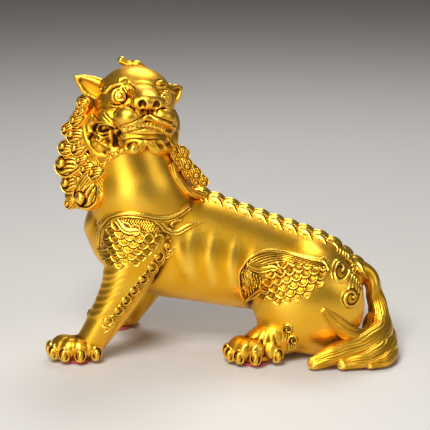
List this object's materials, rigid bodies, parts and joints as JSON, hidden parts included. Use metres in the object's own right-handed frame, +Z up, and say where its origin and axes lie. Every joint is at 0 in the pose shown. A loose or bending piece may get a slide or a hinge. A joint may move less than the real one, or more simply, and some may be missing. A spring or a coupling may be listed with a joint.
{
  "type": "mythical beast figure",
  "caption": "Cast brass mythical beast seated low on its hind legs, head turned to its left, with a curled mane, a crest of leaves and a brush tail, on felt foot pads.",
  "frame": {"origin": "middle of the figure's footprint, on the surface that the pads stand on", "axes": "+Z up, the beast's body faces -X, its left side is -Y"},
  "size_m": [0.199, 0.096, 0.1679],
  "materials": {
    "brass": "satin-polished gold-coloured brass, dark in the recesses",
    "felt": "red felt"
  },
  "bodies": {
    "root": {"beast_casting": "brass", "felt_pad_left_fore": "felt", "felt_pad_right_fore": "felt", "felt_pad_left_hind": "felt", "felt_pad_right_hind": "felt"}
  },
  "joints": []
}
